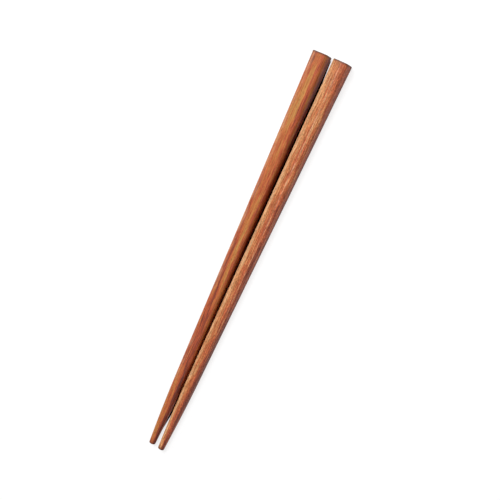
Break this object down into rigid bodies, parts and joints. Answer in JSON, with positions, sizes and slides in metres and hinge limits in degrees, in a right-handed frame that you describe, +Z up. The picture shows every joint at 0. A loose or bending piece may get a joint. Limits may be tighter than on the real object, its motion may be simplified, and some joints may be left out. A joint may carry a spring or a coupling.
{
  "type": "pair of chopsticks",
  "caption": "Matched pair of tapered wooden sticks for eating, rounded square at the head and round at the tip, lying side by side on their flats.",
  "frame": {"origin": "on the table, under the middle of the pair", "axes": "+X along the sticks from the tips to the heads, +Y across the pair from the right stick to the left one, +Z up from the table"},
  "size_m": [0.2251, 0.0206, 0.0086],
  "materials": {
    "wood": "streaked reddish-brown hardwood under a thin, half-glossy clear coat"
  },
  "bodies": {
    "root": {"chopstick_left": "wood", "chopstick_right": "wood"}
  },
  "joints": []
}
